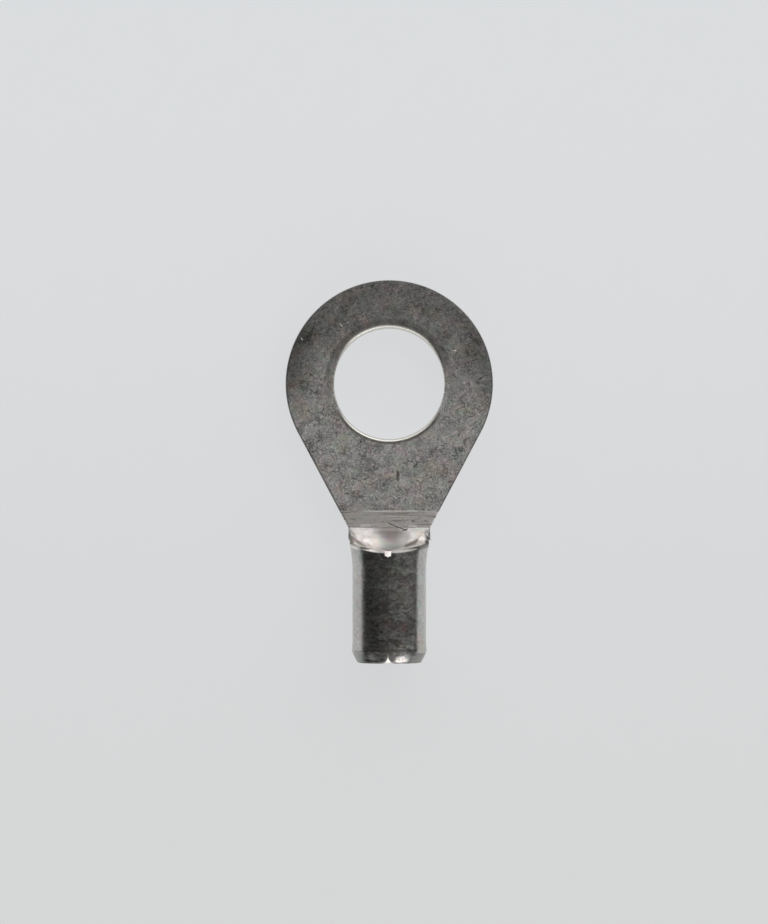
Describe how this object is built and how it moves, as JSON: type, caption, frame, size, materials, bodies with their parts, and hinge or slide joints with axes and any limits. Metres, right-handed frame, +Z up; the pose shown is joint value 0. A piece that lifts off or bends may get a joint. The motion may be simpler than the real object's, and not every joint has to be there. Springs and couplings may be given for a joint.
{
  "type": "ring terminal",
  "caption": "Bare crimp ring terminal: a flat ring tongue with a stud hole and a tapered neck that curls into a round, seamed wire barrel.",
  "frame": {"origin": "centre of the stud hole, on the tongue's underside", "axes": "+Z up through the stud hole, on the side of the barrel's seam; +Y from the barrel towards the ring, along the length; +X to the right"},
  "size_m": [0.012, 0.0221, 0.0043],
  "materials": {
    "tinned_copper": "satin tin plate with fine rolling grain and light handling marks"
  },
  "bodies": {
    "root": {"ring_terminal": "tinned_copper"}
  },
  "joints": []
}
